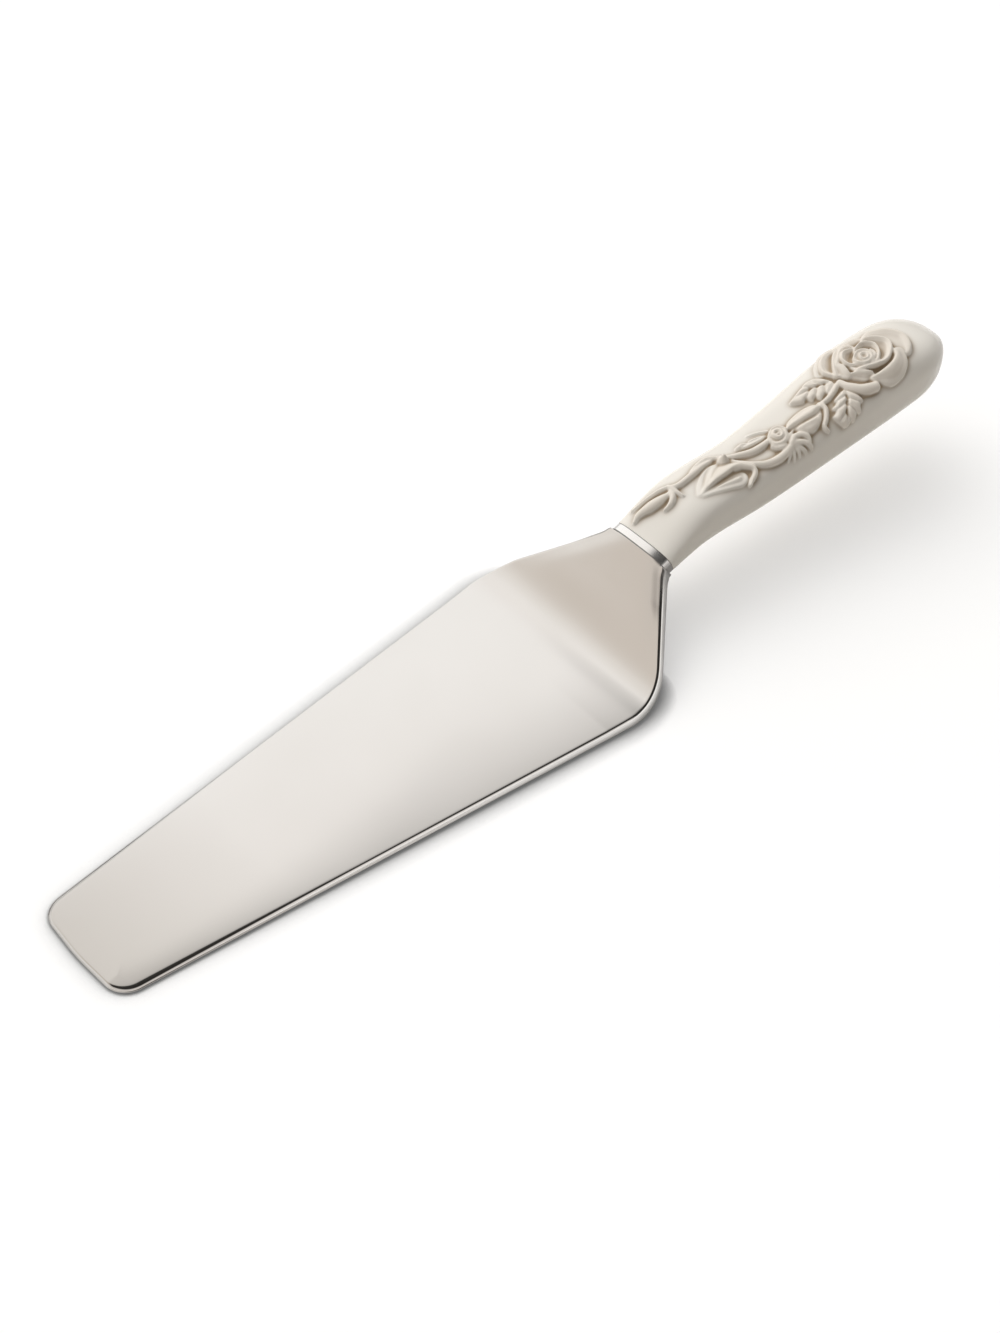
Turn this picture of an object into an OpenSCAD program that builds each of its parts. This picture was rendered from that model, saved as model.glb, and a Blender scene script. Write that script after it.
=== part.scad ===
// Cake server: a tapered steel blade with a cranked shoulder, a steel collar and a cast handle with a rose.
// The blade lies flat on z = 0, its tip points to -X and the handle runs up and away to +X.

/* [Blade] */
// Length from the tip to the line where the shoulder starts to rise
blade_len = 140; // [100:1:180]
// Width of the front edge, corner to corner
tip_w = 30; // [20:1:40]
// How far the front edge bows out between its corners
tip_bow = 0.8; // [0.4:0.1:2]
// Radius at the middle of the bowed front edge
tip_bow_r = 60; // [30:1:80]
// Radius of the two front corners
tip_r = 6; // [2:0.5:9]
// Width at the heel, corner to corner
heel_w = 60.5; // [46:0.5:80]
// Radius of the two heel corners
heel_r = 17; // [4:1:24]
// Thickness of the plate at the tip
tip_t = 1.4; // [0.8:0.1:2]
// Thickness of the plate at the heel
heel_t = 3.2; // [2:0.1:4]

/* [Shoulder] */
// Length of the shoulder along the blade, from the heel to the collar
shoulder_len = 20; // [16:1:30]
// Slope of the shoulder's upper face
shoulder_slope = 39; // [30:1:45]
// Radius of the bend, on its inner side
bend_r = 20; // [4:1:24]
// Thickness of the neck where it meets the collar
neck_t = 6; // [4.5:0.1:7]
// Radius where the shoulder runs into the neck, seen from above
neck_r = 4; // [2:1:12]
// Length of the straight neck beside the collar
neck_len = 0.2; // [0:0.1:3]

/* [Collar] */
// Width of the collar
collar_w = 18.4; // [15:0.2:22]
// Height of the collar
collar_t = 6.8; // [6.4:0.2:10]
// Length of the collar along the handle
collar_len = 2.2; // [1.5:0.1:5]
// Tilt of the collar against the upright
collar_tilt = 20; // [10:1:25]
// How far the collar stands out past the neck on each side
collar_step = 0.2; // [0.2:0.1:1]

/* [Tang] */
// Width of the tang at the neck
tang_w = 7; // [5:0.5:8]
// Width of the tang at its end
tang_end_w = 4.5; // [3:0.5:6]
// Thickness of the tang
tang_t = 2.6; // [2:0.1:3]
// Length of the tang behind the collar
tang_len = 62; // [40:1:75]
// Slope of the tang
tang_tilt = 7; // [4:0.5:9]
// Clearance of the tang in the collar, on each side
slot_clear = 0.1; // [0.05:0.05:0.3]

/* [Cement] */
// Thickness of the cement round the tang
cement_t = 1; // [0.6:0.1:1.4]
// Depth of cement past the end of the tang
cement_end = 3; // [1:0.5:6]

/* [Handle] */
// Length of the handle behind the collar
handle_len = 98.5; // [85:0.5:130]
// Place of the throat, measured from the collar
throat_x = 12; // [8:1:16]
// Rise of the throat's centre above the collar's centre
throat_rise = 4; // [2:0.1:5]
// Width at the throat
throat_w = 18.2; // [16:0.2:22]
// Thickness at the throat
throat_t = 11.4; // [9:0.2:14]
// Place of the waist, measured from the collar
waist_x = 34; // [26:1:44]
// Rise of the waist's centre above the collar's centre
waist_rise = 4.3; // [3:0.1:6]
// Width at the waist
waist_w = 18; // [16:0.2:24]
// Thickness at the waist
waist_t = 13.2; // [10:0.2:16]
// Place of the swell, the fullest part, measured from the collar
swell_x = 72; // [60:1:80]
// Rise of the swell's centre above the collar's centre
swell_rise = 9.9; // [6:0.1:12]
// Width at the swell
swell_w = 21.4; // [19:0.2:28]
// Thickness at the swell
swell_t = 16.6; // [13:0.2:20]
// Rise of the butt's centre above the collar's centre
butt_rise = 11; // [8:0.1:16]
// Width of the butt before it rounds off
butt_w = 20.6; // [18:0.2:28]
// Thickness of the butt before it rounds off
butt_t = 15.2; // [12:0.2:20]
// Length over which the butt rounds off
butt_round = 16; // [8:1:20]

/* [Relief] */
// Distance of the rose's centre from the collar
rose_x = 72.5; // [60:0.5:80]
// Radius of the rose
rose_r = 10.5; // [7:0.5:11]
// Height of the rose above the handle
rose_h = 2; // [1:0.1:3]
// Petals in each row of the rose
petals = 5; // [4:1:7]
// Height of the leaves above the handle
leaf_h = 1.1; // [0.5:0.1:2]
// Radius of the stems
stem_r = 1.1; // [0.8:0.1:1.6]
// Radius of the half open bud
bud_r = 2.6; // [2:0.1:3.5]

/* [Hidden] */

// Steps of a round corner in an outline
arc_steps = 12;
// Points round a section of the handle, and how far they crowd to its top in degrees
ring_points = 52;
top_crowd = 25;
// Sections along the handle, and how much they crowd to its butt
ring_count = 90;
ring_crowd = 1.2;
// Squareness of the collar's section and of the handle's
collar_square = 3.6;
handle_square = 3.5;
// Fullness of the curve that rounds off the butt
butt_fullness = 2.2;
// Spare length of a cutting solid past the face that it cuts
over = 20;
// Length of the tang that is rooted in the neck
tang_root = 3;

// The collar's front face meets the neck at its centre
slope_top = heel_t + shoulder_len * tan(shoulder_slope);
neck_top = [blade_len + shoulder_len, slope_top];
neck_down = [sin(collar_tilt), -cos(collar_tilt)];
neck_mid = neck_top + neck_down * neck_t / 2;
neck_bottom = neck_top + neck_down * neck_t;
collar_dir = [cos(collar_tilt), sin(collar_tilt)];
handle_start = neck_mid + collar_dir * collar_len;
total_len = handle_start[0] + handle_len;
neck_w = collar_w - 2 * collar_step;
socket_w = tang_w + 2 * cement_t;
socket_t = tang_t + 2 * cement_t;
socket_len = tang_len + cement_end;

// Arc that rounds the corner b between the points a and c
function unit(v) = v / norm(v);
function round_corner(a, b, c, r) =
    let (u = unit(a - b), w = unit(c - b))
    let (half = acos(u * w) / 2)
    let (middle = b + unit(u + w) * r / sin(half))
    let (from = b + u * r / tan(half) - middle)
    let (side = sign(u[0] * w[1] - u[1] * w[0]))
    [for (i = [0 : arc_steps])
        let (turn = -side * (180 - 2 * half) * i / arc_steps)
        middle + [from[0] * cos(turn) - from[1] * sin(turn), from[0] * sin(turn) + from[1] * cos(turn)]];

// Outline from corners [x, y, radius], where a radius of 0 leaves the corner sharp
function outline(corners) =
    let (n = len(corners), at = [for (p = corners) [p[0], p[1]]])
    [for (i = [0 : n - 1])
        each corners[i][2] == 0 ? [at[i]]
            : round_corner(at[(i + n - 1) % n], at[i], at[(i + 1) % n], corners[i][2])];

// Rounded section [y, z] of a given width, height and squareness
function section(w, t, square) =
    [for (i = [0 : ring_points - 1])
        let (turn = 360 * i / ring_points, a = turn + top_crowd * cos(turn), c = cos(a), s = sin(a))
        let (reach = pow(pow(abs(c), square) + pow(abs(s), square), -1 / square))
        [w / 2 * reach * c, t / 2 * reach * s]];

// Moves a finished piece from the tip's frame to the middle of the server
module centred() {
    translate([-total_len / 2, 0, 0])
        children();
}

// Places a shape in the collar's frame: its +X leaves the neck towards the handle
module at_neck() {
    translate([neck_mid[0], 0, neck_mid[1]])
        rotate([0, -collar_tilt, 0])
            children();
}

// Places a shape on the tang's own line, which starts at the middle of the neck
module at_tang() {
    translate([neck_mid[0], 0, neck_mid[1]])
        rotate([0, -tang_tilt, 0])
            children();
}

// Stands an outline in [y, z] up and pushes it along +X
module push(length) {
    rotate([90, 0, 90])
        linear_extrude(length)
            children();
}

// Blade

// The blade seen from above
module blade_plan() {
    bow_angle = atan(2 * tip_bow / tip_w);
    bow_peak = -tip_bow_r * (1 / cos(bow_angle) - 1);
    neck_x = blade_len + shoulder_len + neck_t * sin(collar_tilt);
    polygon(outline([
        [bow_peak, 0, tip_bow_r],
        [tip_bow, tip_w / 2, tip_r],
        [blade_len, heel_w / 2, heel_r],
        [blade_len + shoulder_len - neck_len, neck_w / 2, neck_r],
        [neck_x, neck_w / 2, 0],
        [neck_x, -neck_w / 2, 0],
        [blade_len + shoulder_len - neck_len, -neck_w / 2, neck_r],
        [blade_len, -heel_w / 2, heel_r],
        [tip_bow, -tip_w / 2, tip_r]]));
}

// The blade seen from the side, with the crank of the shoulder
module blade_side() {
    polygon(outline([
        [0, 0, 0],
        [0, tip_t, 0],
        [blade_len, heel_t, bend_r],
        [neck_top[0], neck_top[1], 0],
        [neck_bottom[0], neck_bottom[1], 0],
        [blade_len + heel_t * tan(shoulder_slope / 2), 0, bend_r + heel_t]]));
}

// The tang, grown all round by a clearance
module tang(clear = 0) {
    root = tang_w / 2 + clear;
    tip = tang_end_w / 2 + clear;
    reach = collar_len + tang_len + clear;
    at_tang()
        translate([0, 0, -tang_t / 2 - clear])
            linear_extrude(tang_t + 2 * clear)
                polygon([[-tang_root, -root], [reach, -tip], [reach, tip], [-tang_root, root]]);
}

module blade() {
    color("gainsboro")
        centred()
            union() {
                intersection() {
                    linear_extrude(neck_top[1] + over)
                        blade_plan();
                    translate([0, heel_w, 0])
                        rotate([90, 0, 0])
                            linear_extrude(2 * heel_w)
                                blade_side();
                }
                tang();
            }
}

// Collar

module collar() {
    color("silver")
        centred()
            difference() {
                at_neck()
                    push(collar_len)
                        polygon(section(collar_w, collar_t, collar_square));
                tang(slot_clear);
            }
}

// Handle

// Stations along the handle: place, rise of the centre, width and thickness
stations = [
    [0, 0, collar_w, collar_t],
    [throat_x, throat_rise, throat_w, throat_t],
    [waist_x, waist_rise, waist_w, waist_t],
    [swell_x, swell_rise, swell_w, swell_t],
    [handle_len, butt_rise, butt_w, butt_t]];

// Slope of a column of the stations at one station
function slope(i, column) =
    let (a = max(i - 1, 0), b = min(i + 1, len(stations) - 1))
    (stations[b][column] - stations[a][column]) / (stations[b][0] - stations[a][0]);

// Smooth curve through a column of the stations
function along(x, column, i = 0) =
    i < len(stations) - 2 && x > stations[i + 1][0] ? along(x, column, i + 1)
    : let (p = stations[i], q = stations[i + 1], span = q[0] - p[0], k = (x - p[0]) / span)
      p[column] * (1 + 2 * k) * pow(1 - k, 2) + slope(i, column) * span * k * pow(1 - k, 2)
      + q[column] * (3 - 2 * k) * k * k + slope(i + 1, column) * span * k * k * (k - 1);

// How much of the section is left where the butt rounds off
function butt_scale(x) =
    let (k = max(0, (x - handle_len + butt_round) / butt_round))
    sqrt(max(0, 1 - pow(k, butt_fullness)));

// The rose spray lies on the top of the handle, in [distance from the collar, distance from the middle].
rose_at = [rose_x, 0.5];
// Edges of the rows of petals and the depth of their waves, as shares of the rose's radius
petal_rows = [0, 0.24, 0.5, 0.76, 1];
petal_wave = 0.06;
// How far the rose falls off to its rim, and the height at the foot of a petal, as shares of its height
rose_fall = 0.5;
petal_foot = 0.65;
// Leaves: base, tip and half width
leaves = [
    [[60.5, 0], [49.5, 2.5], 3],
    [[61, -4], [56, -10.5], 3.6],
    [[54.5, -4], [43.5, -3], 3.4],
    [[29.5, -4.5], [14, -4], 2.6],
    [[42, -5], [45, -9.5], 2.8],
    [[39, -0.5], [31, 2.5], 1.6],
    [[24, 2], [16, -0.5], 1.2],
    [[10.5, 3], [2, 4.5], 1.7]];
// Stems: the points that each one runs through
stems = [
    [[69, -8.4], [65, -7.4], [62.5, -2], [59, -2.2], [55, -2.6], [51.5, -7.2], [51, -9]],
    [[42, -6.2], [38.5, -6.9], [35, -6.6], [30, -3.3], [24, -2.4], [14.5, -3.2]],
    [[39.5, -2.2], [35.5, -1.8], [31, 0], [24, 4.6], [18.5, 3.4], [11.5, 3], [6, 6.8], [3, 7.6]],
    [[11, 3], [9.5, 0.7], [7, -0.2]]];
// Depth of a leaf's fold as a share of its height
leaf_fold = 0.25;
// Place of the bud, and its height as a share of its radius
bud_at = [41, -2.4];
bud_rise = 0.6;

// Each row of petals climbs to its own lip, and every lip lies lower than the one inside it
function rose(at) =
    let (d = at - rose_at, wave = 1 + petal_wave * cos(petals * atan2(d[1], d[0])))
    let (k = norm(d) / (rose_r * wave))
    k >= 1 ? 0
        : let (row = max([for (i = [0 : len(petal_rows) - 2]) k >= petal_rows[i] ? i : 0]))
          let (climb = (k - petal_rows[row]) / (petal_rows[row + 1] - petal_rows[row]))
          rose_h * (1 - rose_fall * k * k) * (petal_foot + (1 - petal_foot) * climb);

// A leaf swells between its ends and is folded down along its middle
function leaf(at, base, tip, half) =
    let (line = tip - base, d = at - base, span = norm(line))
    let (k = d * line / (span * span), off = abs(d[0] * line[1] - d[1] * line[0]) / span)
    k <= 0 || k >= 1 ? 0
        : let (edge = half * sqrt(sin(180 * k)))
          off >= edge ? 0 : leaf_h * sqrt(1 - pow(off / edge, 2)) * (1 - leaf_fold * (1 - off / edge));

// Distance from a place to the nearest point of a stem
function stem_gap(at, path) =
    min([for (i = [0 : len(path) - 2])
        let (line = path[i + 1] - path[i], k = max(0, min(1, (at - path[i]) * line / (line * line))))
        norm(at - path[i] - line * k)]);

// A round bump of radius r at the distance d from its middle
function bump(d, r) = d < r ? sqrt(r * r - d * d) : 0;

// Height of the whole spray at one place
function relief(at) =
    max(concat(
        [rose(at), bud_rise * bump(norm(at - bud_at), bud_r)],
        [for (l = leaves) leaf(at, l[0], l[1], l[2])],
        [for (path = stems) bump(stem_gap(at, path), stem_r)]));

// Sections lie closer together towards the butt
function ring_place(i) =
    let (k = i / ring_count)
    handle_len * (1 - pow(1 - k, ring_crowd));

// One section of the handle, raised by the relief on its upper half
function ring(x) =
    let (left = max(0, 1 - x / waist_x), tilt = collar_tilt * left * left)
    let (square = handle_square + (collar_square - handle_square) * left * left)
    let (w = along(x, 2) * butt_scale(x), t = along(x, 3) * butt_scale(x))
    [for (p = section(w, t, square))
        let (out = unit([pow(abs(p[0]) / w, square - 1) * sign(p[0]) / w, pow(abs(p[1]) / t, square - 1) / t]))
        let (q = p[1] > 0 ? p + out * relief([x, p[0]]) : p)
        [handle_start[0] + x - q[1] * sin(tilt), q[0], handle_start[1] + along(x, 1) + q[1] * cos(tilt)]];

// Closed skin over a row of sections, ending in a point
module skin(rings, end) {
    n = ring_points;
    last = len(rings) - 1;
    points = concat([for (r = rings) each r], [end]);
    first_face = [[for (j = [0 : n - 1]) j]];
    sides = [for (i = [0 : last - 1], j = [0 : n - 1])
        let (a = i * n + j, b = i * n + (j + 1) % n)
        each [[a, b + n, b], [a, a + n, b + n]]];
    end_faces = [for (j = [0 : n - 1]) [last * n + j, (last + 1) * n, last * n + (j + 1) % n]];
    polyhedron(points, concat(first_face, sides, end_faces));
}

// The hollow of the handle, open at the collar
module socket() {
    at_tang()
        translate([-over, 0, 0])
            push(over + collar_len + socket_len)
                union() {
                    square([socket_w - socket_t, socket_t], center = true);
                    for (side = [-1, 1])
                        translate([side * (socket_w - socket_t) / 2, 0])
                            circle(d = socket_t, $fn = 48);
                }
}

module handle() {
    end = [total_len, 0, handle_start[1] + butt_rise];
    color("ivory")
        centred()
            difference() {
                skin([for (i = [0 : ring_count - 1]) ring(ring_place(i))], end);
                socket();
            }
}

// Cement

module cement() {
    color("darkgray")
        centred()
            difference() {
                socket();
                tang();
                at_neck()
                    translate([collar_len - 2 * over, -collar_w, -over])
                        cube([2 * over, 2 * collar_w, 2 * over]);
            }
}

blade();
collar();
handle();
cement();
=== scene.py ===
import math

import bmesh
import bpy
import numpy as np
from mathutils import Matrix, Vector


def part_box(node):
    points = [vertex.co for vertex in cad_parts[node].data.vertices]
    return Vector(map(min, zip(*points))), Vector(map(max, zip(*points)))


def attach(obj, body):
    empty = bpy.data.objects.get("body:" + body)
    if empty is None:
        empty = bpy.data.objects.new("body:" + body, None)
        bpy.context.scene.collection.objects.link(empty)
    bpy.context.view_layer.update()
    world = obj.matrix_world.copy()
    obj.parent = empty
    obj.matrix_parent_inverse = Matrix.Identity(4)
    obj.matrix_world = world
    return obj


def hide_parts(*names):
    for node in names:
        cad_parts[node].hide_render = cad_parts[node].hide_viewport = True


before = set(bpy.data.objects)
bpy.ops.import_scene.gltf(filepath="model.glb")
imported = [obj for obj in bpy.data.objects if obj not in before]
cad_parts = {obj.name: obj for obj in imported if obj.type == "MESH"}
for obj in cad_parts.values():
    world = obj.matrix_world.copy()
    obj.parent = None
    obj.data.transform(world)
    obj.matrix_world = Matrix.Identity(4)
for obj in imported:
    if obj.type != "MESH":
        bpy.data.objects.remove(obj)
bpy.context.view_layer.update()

# Blade
# One plate of stainless steel, tapered in width and thickness and cranked up at the shoulder.
# It is forged, ground and polished, and its upper edge is rolled over, more broadly at the tip.
MM = 0.001
HALF_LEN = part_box("handle")[1].x / MM
BLADE_LEN = 140
TIP_W = 30
TIP_BOW = 0.8
TIP_BOW_R = 60
TIP_R = 6
HEEL_W = 60.5
HEEL_R = 17
TIP_T = 1.4
HEEL_T = 3.2
SHOULDER_LEN = 20
SHOULDER_SLOPE = math.radians(39)
BEND_SOFT = 2.2
UNDER_BEND_SOFT = 2.6
NECK_W = 19.8
NECK_T = 6
NECK_R = 4
COLLAR_TILT = math.radians(20)
NECK_X = BLADE_LEN + SHOULDER_LEN
NECK_TOP = HEEL_T + SHOULDER_LEN * math.tan(SHOULDER_SLOPE)
NECK_END = NECK_X + NECK_T * math.sin(COLLAR_TILT)
NECK_BOTTOM = NECK_TOP - NECK_T * math.cos(COLLAR_TILT)
# The polished face is crowned across its width and falls off a little more towards its edge
CROWN = 0.5
CROWN_END = 14
EDGE_FALL = 0.08
TIP_FALL = 0.2
EDGE_FALL_W = 4
# On the shoulder the face falls off further towards both sides, and where along it that sets in
NECK_FALL = 0.7
NECK_FALL_W = 4.5
NECK_FALL_FROM = 0.2
NECK_FALL_OVER = 0.5
# Lean of the edge's wall. The rolled edge: width at the heel, at the tip, the stretch between, and height
WALL_LEAN = 0.5
ROLL_W = 0.65
TIP_ROLL_W = 1.3
TIP_LEN = 60
ROLL_H = 1.0
# Width and height of the rounded lower edge, and how much of it is left on the shoulder
UNDER_W = 1.6
UNDER_H = 1.0
SHOULDER_UNDER = 0.4
# Most of the plate's thickness that the rolled edge and the lower edge take
ROLL_SHARE = 0.5
UNDER_SHARE = 0.4
# How far the neck reaches under the collar's front
NECK_LAP = 0.1
# The last stretch of the neck, and how much rounder its lower edge is there
NECK_END_LEN = 5
NECK_ROUND = 4.5
# Step between points along the edge, and the gap below which two points are made one
RIM_STEP = 0.5
MERGE_GAP = 0.002


def unit(v):
    return v / np.linalg.norm(v)


def rounded_outline(corners, steps=25):
    """Closed outline through corners of (x, y, radius), where a radius of 0 stays sharp."""
    at = [np.array(corner[:2], float) for corner in corners]
    points = []
    for i, corner in enumerate(corners):
        if corner[2] == 0:
            points.append(at[i])
            continue
        back, ahead = unit(at[i - 1] - at[i]), unit(at[(i + 1) % len(at)] - at[i])
        half = math.acos(back @ ahead) / 2
        middle = at[i] + unit(back + ahead) * corner[2] / math.sin(half)
        start = at[i] + back * corner[2] / math.tan(half) - middle
        side = np.sign(back[0] * ahead[1] - back[1] * ahead[0])
        for turn in np.linspace(0, -side * (math.pi - 2 * half), steps):
            c, s = math.cos(turn), math.sin(turn)
            points.append(middle + [start[0] * c - start[1] * s, start[0] * s + start[1] * c])
    return np.array(points)


def even_points(points, step):
    """Points at even steps along an open line, with both of its ends."""
    far = np.concatenate([[0], np.cumsum(np.linalg.norm(np.diff(points, axis=0), axis=1))])
    places = np.linspace(0, far[-1], int(far[-1] / step))
    return np.stack([np.interp(places, far, column) for column in points.T], 1)


def bent_line(x, corner, angle_in, angle_out, soft):
    """Height of a line that turns upwards at a corner, in a gentle bend."""
    turn = math.tan(angle_out) - math.tan(angle_in)
    eased = soft * np.logaddexp(0, (x - corner[0]) / soft)
    return corner[1] + (x - corner[0]) * math.tan(angle_in) + turn * eased


def plate_top(x):
    taper = math.atan((HEEL_T - TIP_T) / BLADE_LEN)
    return bent_line(x, (BLADE_LEN, HEEL_T), taper, SHOULDER_SLOPE, BEND_SOFT)


def plate_bottom(x):
    corner = BLADE_LEN + HEEL_T * math.tan(SHOULDER_SLOPE / 2)
    slope = math.atan(NECK_BOTTOM / (NECK_END - corner))
    return bent_line(x, (corner, 0), 0, slope, UNDER_BEND_SOFT)


def in_frame(points):
    """Points measured from the tip in millimetres, in metres of the shared frame."""
    return (points - [HALF_LEN, 0, 0]) * MM


def mesh_piece(name, points, faces):
    """Smooth closed object from points in millimetres of the tip's frame."""
    mesh = bpy.data.meshes.new(name)
    mesh.from_pydata(in_frame(points).tolist(), [], faces)
    work = bmesh.new()
    work.from_mesh(mesh)
    bmesh.ops.remove_doubles(work, verts=work.verts, dist=MERGE_GAP * MM)
    bmesh.ops.recalc_face_normals(work, faces=work.faces)
    for face in work.faces:
        face.smooth = True
    work.to_mesh(mesh)
    work.free()
    piece = bpy.data.objects.new(name, mesh)
    bpy.context.scene.collection.objects.link(piece)
    return piece


def paint(piece, name, points, values):
    """Values for the points of a piece, kept as an attribute for its material."""
    spots = np.empty(len(piece.data.vertices) * 3, np.float32)
    piece.data.vertices.foreach_get("co", spots)
    made = in_frame(points).astype(np.float32)
    known = {spot.tobytes(): value for spot, value in zip(made, values)}
    shade = [known.get(spot.tobytes(), 0) for spot in spots.reshape(-1, 3)]
    piece.data.attributes.new(name, "FLOAT", "POINT").data.foreach_set("value", shade)


def ring_faces(rows, columns):
    """Quads between neighbouring rings of a closed skin."""
    faces = []
    for i in range(rows - 1):
        for j in range(columns):
            k = (j + 1) % columns
            faces.append((i * columns + j, i * columns + k, (i + 1) * columns + k, (i + 1) * columns + j))
    return faces


bow_peak = -TIP_BOW_R * (1 / math.cos(math.atan(2 * TIP_BOW / TIP_W)) - 1)
far_corners = [
    (TIP_BOW, TIP_W / 2, TIP_R),
    (BLADE_LEN, HEEL_W / 2, HEEL_R),
    (NECK_X, NECK_W / 2, NECK_R),
    (NECK_END, NECK_W / 2, 0),
]
near_corners = [(x, -y, r) for x, y, r in reversed(far_corners)]
plan = rounded_outline([(bow_peak, 0, TIP_BOW_R)] + far_corners + near_corners)
far_half = even_points(np.vstack([plan[plan[:, 1] > -1e-6], [NECK_END, 0]]), RIM_STEP)
far_half[0, 1] = 0
rim = np.vstack([far_half, far_half[-2:0:-1] * [1, -1]])
rim_way = np.roll(rim, -1, 0) - np.roll(rim, 1, 0)
inward = np.stack([rim_way[:, 1], -rim_way[:, 0]], 1) / np.linalg.norm(rim_way, axis=1, keepdims=True)
spine = np.stack([np.clip(rim[:, 0], TIP_W / 2, NECK_END - NECK_W / 2), 0 * rim[:, 0]], 1)

thick = plate_top(rim[:, 0]) - plate_bottom(rim[:, 0])
# The edge stands nearly square to the plate, so on the shoulder its foot lies further back than its top
FOOT_SHARE = 0.3
SLOPE_STEP = 0.01
rise = (plate_top(rim[:, 0] + SLOPE_STEP) - plate_top(rim[:, 0] - SLOPE_STEP)) / (2 * SLOPE_STEP)
slope = np.arctan(rise)
foot = np.minimum(FOOT_SHARE * thick * np.sin(slope) * np.cos(slope), NECK_END - rim[:, 0])
# Share of the way up the shoulder, full by its middle, and of the last stretch of the neck
up_shoulder = np.clip((rim[:, 0] - BLADE_LEN) / SHOULDER_LEN * 2, 0, 1)
at_neck = np.clip((rim[:, 0] - NECK_X) / NECK_END_LEN + 1, 0, 1)
roll_h = np.minimum(ROLL_H, ROLL_SHARE * thick)
under_h = np.minimum(UNDER_H, UNDER_SHARE * thick)
under_h *= 1 - (1 - SHOULDER_UNDER) * up_shoulder
under_h *= 1 + NECK_ROUND * at_neck
under_w = UNDER_W / UNDER_H * under_h
wall_lean = WALL_LEAN * np.minimum(thick / HEEL_T, 1)
# Both long edges are softer towards the tip
to_tip = np.clip(1 - rim[:, 0] / TIP_LEN, 0, 1) * abs(inward[:, 1])
roll_w = ROLL_W + (TIP_ROLL_W - ROLL_W) * to_tip
edge_fall = EDGE_FALL + TIP_FALL * to_tip
side_line = far_half[far_half[:, 0] < NECK_END - SLOPE_STEP]
blade_rings = []


def drawn_in(inset):
    """The outline drawn in by a distance, squared off at the end of the neck."""
    at = rim + inward * inset[:, None]
    end = rim[:, 0] > NECK_X
    at[end, 0] = np.minimum(at[end, 0], NECK_END - inset[end])
    room = NECK_W / 2 - inset[end]
    at[end, 1] = np.clip(at[end, 1], -room, room)
    return at


def under_ring(inset, lift):
    at = drawn_in(inset)
    at[:, 0] = np.minimum(at[:, 0] + foot, NECK_END)
    blade_rings.append(np.column_stack([at, plate_bottom(at[:, 0]) + lift]))


def face_ring(at, depth, drop=0):
    x = np.minimum(at[:, 0], NECK_X + NECK_LAP)
    crown = CROWN * np.clip((BLADE_LEN - x) / CROWN_END, 0, 1)
    fall = edge_fall * np.exp(-depth / EDGE_FALL_W) + crown * (2 * at[:, 1] / HEEL_W) ** 2
    up = (x - BLADE_LEN) / SHOULDER_LEN
    to_neck = np.clip(up - NECK_FALL_FROM, 0, NECK_FALL_OVER) / NECK_FALL_OVER
    to_side = np.interp(x, side_line[:, 0], side_line[:, 1]) - abs(at[:, 1])
    fall += NECK_FALL * to_neck * np.exp(-((to_side / NECK_FALL_W) ** 2))
    height = plate_top(x) - fall - drop * np.cos(slope)
    blade_rings.append(np.column_stack([x + drop * np.sin(slope), at[:, 1], height]))


# Underside, from its middle line out to the rounded lower edge
lower_rim = drawn_in(under_w)
lower_rim[:, 0] = np.minimum(lower_rim[:, 0] + foot, NECK_END)
for share in (0, 0.5):
    at = spine + (lower_rim - spine) * share
    blade_rings.append(np.column_stack([at, plate_bottom(at[:, 0])]))
for turn in np.radians(np.arange(0, 91, 15)):
    under_ring(under_w * (1 - math.sin(turn)), under_h * (1 - math.cos(turn)))
# Rolled upper edge, from the top of the leaning wall on
for turn in np.radians(np.arange(12, 91, 6)):
    inset = wall_lean + roll_w * (1 - math.cos(turn))
    face_ring(drawn_in(inset), inset, roll_h * (1 - math.sin(turn)))
# Polished face, in to its middle line
FACE_INSET = 3.2
for share in (0.2, 0.4, 0.6, 0.8):
    inset = wall_lean + roll_w + (FACE_INSET - wall_lean - roll_w) * share
    face_ring(drawn_in(inset), inset)
inner_rim = drawn_in(np.full(len(rim), FACE_INSET))
span = np.linalg.norm(spine - inner_rim, axis=1)
for share in (0, 0.03, 0.07, 0.12, 0.18, 0.25, 0.35, 0.5, 0.75, 1):
    face_ring(inner_rim + (spine - inner_rim) * share, FACE_INSET + span * share)

blade_points = np.vstack(blade_rings)
blade = mesh_piece("blade_plate", blade_points, ring_faces(len(blade_rings), len(rim)))
# The foot of the wall is left as ground and painted darker, partly as ground steel and partly as painted
# shade mirrored from the table, and the polish starts further up. By the neck the edge is painted darker
# still, a painted shade
FOOT_RINGS = range(5, 9)
WALL_TOP_RINGS = range(9, 11)
WALL_TOP_SHARE = 0.35
SHOULDER_TOP_SHARE = 0.45
ROLL_RINGS = range(9, 22)
NECK_SHADE_SHARE = 1.8
ground_and_shade_share = np.zeros((len(blade_rings), len(rim)))
ground_and_shade_share[FOOT_RINGS] = 1 + up_shoulder
ground_and_shade_share[WALL_TOP_RINGS] = WALL_TOP_SHARE + SHOULDER_TOP_SHARE * up_shoulder
ground_and_shade_share[ROLL_RINGS] = np.maximum(ground_and_shade_share[ROLL_RINGS], NECK_SHADE_SHARE * at_neck)
paint(blade, "ground_and_shade", blade_points, ground_and_shade_share.ravel())


def new_material(name):
    """New material, with its node tree and its shader."""
    material = bpy.data.materials.new(name)
    material.use_nodes = True
    return material, material.node_tree, material.node_tree.nodes["Principled BSDF"]


def add(tree, kind, feeds, **settings):
    """New node, where feeds gives the value or the socket for some of its inputs."""
    node = tree.nodes.new(kind)
    for key, value in settings.items():
        setattr(node, key, value)
    for key, value in feeds.items():
        if isinstance(value, bpy.types.NodeSocket):
            tree.links.new(value, node.inputs[key])
        else:
            node.inputs[key].default_value = value
    return node


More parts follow.
